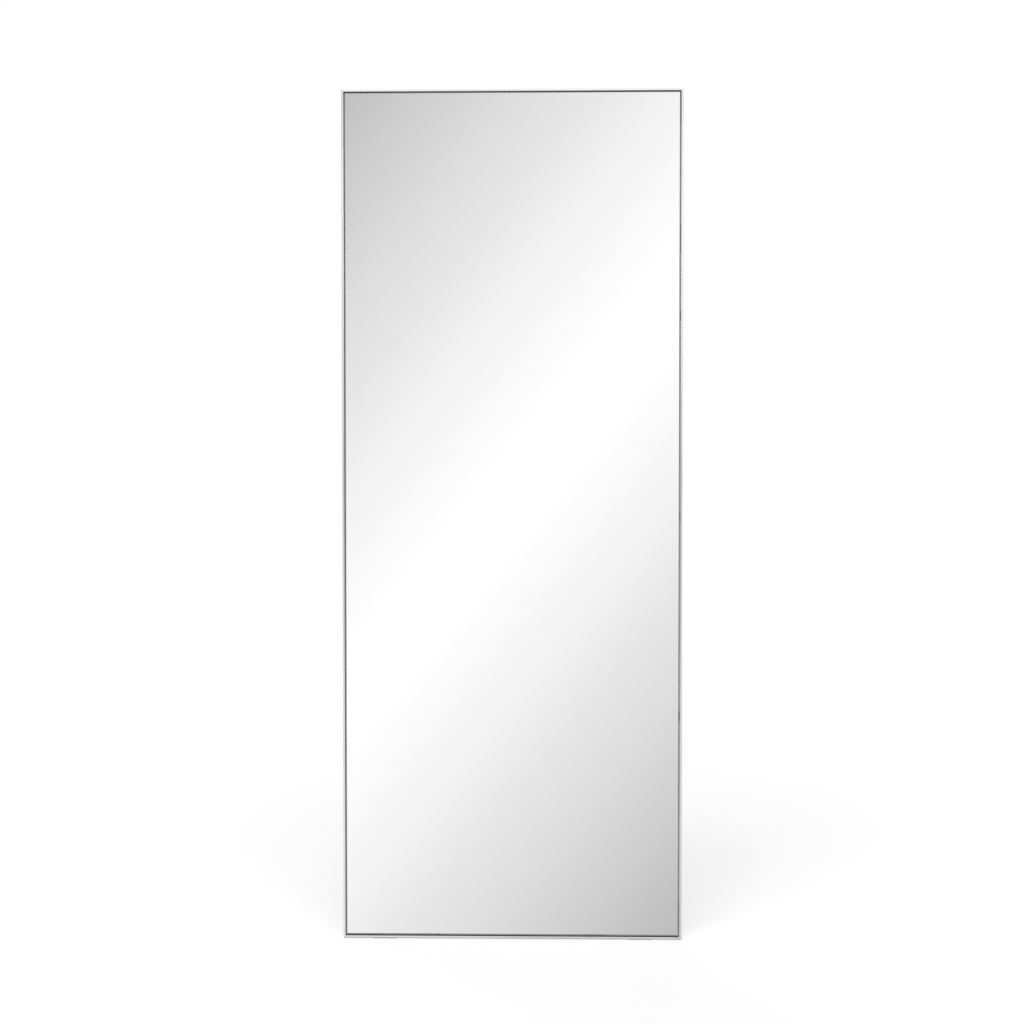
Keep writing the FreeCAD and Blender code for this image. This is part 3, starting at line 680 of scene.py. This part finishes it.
LEVEL, UPRIGHT, REARWARD = (0, 0, 0), (0, -math.pi / 2, 0), (0, 0, math.pi / 2)
bead_length, plate_bead_radius = 0.018, 0.0017
bead_starts = (0.012, 0.054)
bead_places = []
for corner in CORNERS:
    x = -stile_face if "left" in corner else stile_face
    z = rail_low if "bottom" in corner else rail_high
    inward = 1 if "left" in corner else -1
    upward = 1 if "bottom" in corner else -1
    for start in bead_starts:
        end = start + bead_length
        bead_places.append(((min(x + inward * start, x + inward * end), plate_back, z), LEVEL))
        bead_places.append(((x, plate_back, min(z + upward * start, z + upward * end)), UPRIGHT))
for tab in TABS:
    low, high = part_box(tab)
    if "side" in tab:
        x = -stile_face if "left" in tab else stile_face
        bead_places.append(((x, plate_back, (low.z + high.z - bead_length) / 2), UPRIGHT))
    else:
        z = rail_high if tab == "top_tab" else rail_low
        bead_places.append(((-bead_length / 2, plate_back, z), LEVEL))
lay_welds("plate_welds", make_bead(bead_length, plate_bead_radius), bead_places)

corner_bead_length, corner_bead_radius, corner_bead_inset = 0.0185, 0.0022, 0.0005
corner_places = [
    ((sign * stile_face, plate_front + corner_bead_inset, z), REARWARD)
    for sign in (-1, 1) for z in (rail_low, rail_high)
]
lay_welds("corner_welds", make_bead(corner_bead_length, corner_bead_radius), corner_places)


# Panel screws: twelve pan-head screws of zinc-plated steel with a cross recess, driven through the
# plates and tabs into the board. Each stopped at its own angle. The plating's tint changes from
# bluish to yellowish over 6 mm, with pitting of 0.4 mm.
zinc, tree, shader, place = start_material("bright_zinc_plate")
bath = add_node(
    tree, "ShaderNodeTexNoise", values={"Scale": 160, "Detail": 3}, links={"Vector": (place, "Object")}
)
tone = add_node(tree, "ShaderNodeValToRGB", links={0: (bath, 0)})
stops = tone.color_ramp.elements
stops[0].position, stops[0].color = 0.3, linear("#B3BAC4")
stops[1].position, stops[1].color = 0.75, linear("#CDC9B6")
stops.new(0.5).color = linear("#C8CBCD")
specks = add_node(
    tree, "ShaderNodeTexNoise", values={"Scale": 2400, "Detail": 3}, links={"Vector": (place, "Object")}
)
shine = add_node(
    tree, "ShaderNodeMapRange", values={"To Min": 0.18, "To Max": 0.36}, links={"Value": (specks, 0)}
)
pitting = add_node(
    tree, "ShaderNodeBump", values={"Strength": 0.2, "Distance": 0.00003}, links={"Height": (specks, 0)}
)
shader.inputs["Metallic"].default_value = 1
tree.links.new(tone.outputs[0], shader.inputs["Base Color"])
tree.links.new(shine.outputs[0], shader.inputs["Roughness"])
tree.links.new(pitting.outputs[0], shader.inputs["Normal"])


def pick(piece, kind, wanted):
    """Opens a piece for editing with only its wanted vertices or polygons selected."""
    bpy.context.tool_settings.mesh_select_mode = (kind == "vertices", False, kind == "polygons")
    bpy.ops.object.mode_set(mode="EDIT")
    bpy.ops.mesh.select_all(action="DESELECT")
    bpy.ops.object.mode_set(mode="OBJECT")
    for item in getattr(piece.data, kind):
        item.select = wanted(item)
    bpy.ops.object.mode_set(mode="EDIT")


def make_screw(head_radius, head_height, shank_radius, length, tip, pitch):
    """A screw with the underside of its head at the origin and its shank down -Z. The head is a
    domed pan with a cross recess, and the shank has a wound thread and a tapered tip."""
    rim = 0.35 * head_height
    # The dome's steps: rises as shares of the head's height, and widths as shares of its radius.
    dome = ((0.30, 0.93), (0.20, 0.80), (0.10, 0.62), (0.05, 0.30))
    bpy.ops.object.select_all(action="DESELECT")
    bpy.ops.mesh.primitive_cylinder_add(
        vertices=36, radius=head_radius, depth=rim, location=(0, 0, rim / 2)
    )
    head = bpy.context.object
    bpy.ops.object.transform_apply(location=True, rotation=True, scale=True)
    pick(head, "polygons", lambda polygon: polygon.normal.z > 0.9)
    width = 1.0
    for rise, wanted in dome:
        bpy.ops.mesh.extrude_region_move(TRANSFORM_OT_translate={"value": (0, 0, rise * head_height)})
        bpy.ops.transform.resize(value=(wanted / width, wanted / width, 1), center_override=(0, 0, 0))
        width = wanted
    bpy.ops.object.mode_set(mode="OBJECT")

    # The cross recess: two arms, each narrower towards its bottom, cut out of the dome.
    arm_width, arm_length, arm_height = 0.24 * head_radius, 1.1 * head_radius, 0.9 * head_height
    arm_middle, arm_taper = 0.72 * head_height, 0.6
    for turn in (0, math.pi / 2):
        bpy.ops.object.select_all(action="DESELECT")
        bpy.ops.mesh.primitive_cube_add(size=1, location=(0, 0, arm_middle))
        arm = bpy.context.object
        arm.scale = (arm_width, arm_length, arm_height)
        bpy.ops.object.transform_apply(location=True, rotation=False, scale=True)
        arm.rotation_euler.z = turn
        bpy.ops.object.transform_apply(location=False, rotation=True, scale=False)
        pick(arm, "vertices", lambda vertex: vertex.co.z < 0.5 * head_height)
        bpy.ops.transform.resize(value=(arm_taper, arm_taper, 1), center_override=(0, 0, 0))
        bpy.ops.object.mode_set(mode="OBJECT")
        cut = head.modifiers.new("recess", "BOOLEAN")
        cut.operation = "DIFFERENCE"
        cut.solver = "EXACT"
        cut.object = arm
        bpy.context.view_layer.objects.active = head
        bpy.ops.object.modifier_apply(modifier=cut.name)
        bpy.data.objects.remove(arm)

    # The shank: a rod of the thread's root radius, drawn out to a tip.
    root, tip_width = 0.74 * shank_radius, 0.12
    bpy.ops.object.select_all(action="DESELECT")
    bpy.ops.mesh.primitive_cylinder_add(
        vertices=20, radius=root, depth=length - tip, location=(0, 0, -(length - tip) / 2)
    )
    shank = bpy.context.object
    bpy.ops.object.transform_apply(location=True, rotation=True, scale=True)
    pick(shank, "polygons", lambda polygon: polygon.normal.z < -0.9)
    bpy.ops.mesh.extrude_region_move(TRANSFORM_OT_translate={"value": (0, 0, -tip)})
    bpy.ops.transform.resize(value=(tip_width, tip_width, 1), center_override=(0, 0, 0))
    bpy.ops.object.mode_set(mode="OBJECT")

    # The thread: a three-cornered ridge, sunk a little in the rod and wound up it by its pitch.
    depth = shank_radius - 0.9 * root
    ridge, first_turn, bare_neck = depth * 0.67, 0.2 * pitch, 0.6 * pitch
    bpy.ops.object.select_all(action="DESELECT")
    bpy.ops.mesh.primitive_circle_add(
        vertices=3, radius=ridge, rotation=(math.pi / 2, 0, 0),
        location=(shank_radius - ridge, 0, -length + tip + first_turn),
    )
    thread = bpy.context.object
    bpy.ops.object.transform_apply(location=True, rotation=True, scale=True)
    for vertex in thread.data.vertices:
        vertex.co.x = shank_radius if vertex.co.x > shank_radius - 0.5 * depth else vertex.co.x
    wind = thread.modifiers.new("wind", "SCREW")
    wind.axis = "Z"
    wind.angle = 2 * math.pi
    wind.screw_offset = pitch
    wind.iterations = max(int((length - tip - bare_neck) / pitch), 1)
    wind.steps = wind.render_steps = 20
    bpy.ops.object.modifier_apply(modifier=wind.name)
    bpy.ops.object.mode_set(mode="EDIT")
    bpy.ops.mesh.select_all(action="SELECT")
    bpy.ops.mesh.fill_holes(sides=3)
    bpy.ops.mesh.normals_make_consistent(inside=False)
    bpy.ops.object.mode_set(mode="OBJECT")

    for piece in (head, shank, thread):
        piece.select_set(True)
    bpy.context.view_layer.objects.active = head
    bpy.ops.object.join()
    bpy.ops.object.shade_smooth_by_angle(angle=math.radians(32))
    return head


def drive_screws(template, name, node, places):
    """Screws with their heads to the rear, in place of a CAD node's plain ones."""
    turn_between = 0.7
    seats = [
        (seat, (-math.pi / 2, turn_between * number, 0)) for number, seat in enumerate(places)
    ]
    screws = set_copies(template, name, seats)
    screws.data.materials.clear()
    screws.data.materials.append(zinc)
    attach(screws, "frame")
    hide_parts(node)


plate_screw_inset, tab_screw_inset = 0.038, 0.013
panel_seats = []
for corner in CORNERS:
    side = -1 if "left" in corner else 1
    level = rail_low + plate_screw_inset if "bottom" in corner else rail_high - plate_screw_inset
    panel_seats.append((side * (stile_face - plate_screw_inset), plate_back, level))
for tab in TABS:
    low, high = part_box(tab)
    if "side" in tab:
        side = -1 if "left" in tab else 1
        panel_seats.append((side * (stile_face - tab_screw_inset), plate_back, (low.z + high.z) / 2))
    else:
        level = rail_high - tab_screw_inset if tab == "top_tab" else rail_low + tab_screw_inset
        panel_seats.append((0, plate_back, level))
panel_screw = make_screw(
    head_radius=0.0045, head_height=0.002, shank_radius=0.00175, length=0.009, tip=0.0025, pitch=0.0012
)
drive_screws(panel_screw, "panel_pan_screws", "panel_screws", panel_seats)


# Wall bumpers: moulded black rubber cones that stand 3 mm behind the frame, each held by a screw
# whose head sits low in its counterbore, so that only rubber meets the wall.
black_rubber = epdm_rubber("black_epdm_rubber", "#1E1E1D", "#3B3B3A")
dress(black_rubber, *[f"wall_bumper_{corner}" for corner in CORNERS])
counterbore_floor = 0.005
bumper_seats = []
for corner in CORNERS:
    low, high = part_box(f"wall_bumper_{corner}")
    bumper_seats.append(((low.x + high.x) / 2, low.y + counterbore_floor, (low.z + high.z) / 2))
bumper_screw = make_screw(
    head_radius=0.0045, head_height=0.002, shank_radius=0.00175, length=0.014, tip=0.0025, pitch=0.0012
)
drive_screws(bumper_screw, "bumper_pan_screws", "bumper_screws", bumper_seats)


# Hangers: a 3 mm welded plate on each stile, a folded strap of zinc-plated steel screwed to it, and
# a D-ring of 3.5 mm zinc-plated wire that hangs in the strap's loop.
hanger_bead_starts, hanger_bead_radius = (0.008, 0.040), 0.0021
folded_strap, strap_screw_rises = 0.0026, (0.010, 0.0315)
hanger_beads = []
hanger_seats = []
for side, sign in (("left", -1), ("right", 1)):
    dress(plate_steel, f"hanger_plate_{side}")
    dress(zinc, f"hanger_strap_{side}", f"hanger_ring_{side}")
    low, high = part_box(f"hanger_plate_{side}")
    for start in hanger_bead_starts:
        hanger_beads.append(((sign * stile_face, high.y, low.z + start), UPRIGHT))
    low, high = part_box(f"hanger_strap_{side}")
    for rise in strap_screw_rises:
        hanger_seats.append(((low.x + high.x) / 2, low.y + folded_strap, low.z + rise))
lay_welds("hanger_plate_welds", make_bead(bead_length, hanger_bead_radius), hanger_beads)
hanger_screw = make_screw(
    head_radius=0.0045, head_height=0.0022, shank_radius=0.0024, length=0.0105, tip=0.0008, pitch=0.0008
)
drive_screws(hanger_screw, "hanger_pan_screws", "hanger_screws", hanger_seats)


# Floor pads: thin clear vinyl pads stuck under the bottom bar near its ends, which keep the steel
# off the floor. The vinyl is slightly cloudy, in patches 4 mm across.
vinyl, tree, shader, place = start_material("clear_vinyl")
haze = add_node(
    tree, "ShaderNodeTexNoise", values={"Scale": 260, "Detail": 3}, links={"Vector": (place, "Object")}
)
tone = add_node(
    tree, "ShaderNodeMix", data_type="RGBA",
    values={6: linear("#DCE2E0"), 7: linear("#EDF0EF")}, links={0: (haze, 0)},
)
cloudy = add_node(
    tree, "ShaderNodeMapRange", values={"To Min": 0.12, "To Max": 0.34}, links={"Value": (haze, 0)}
)
shader.inputs["Transmission Weight"].default_value = 0.7
shader.inputs["IOR"].default_value = 1.53
tree.links.new(tone.outputs[2], shader.inputs["Base Color"])
tree.links.new(cloudy.outputs[0], shader.inputs["Roughness"])
dress(vinyl, "floor_pad_left", "floor_pad_right")
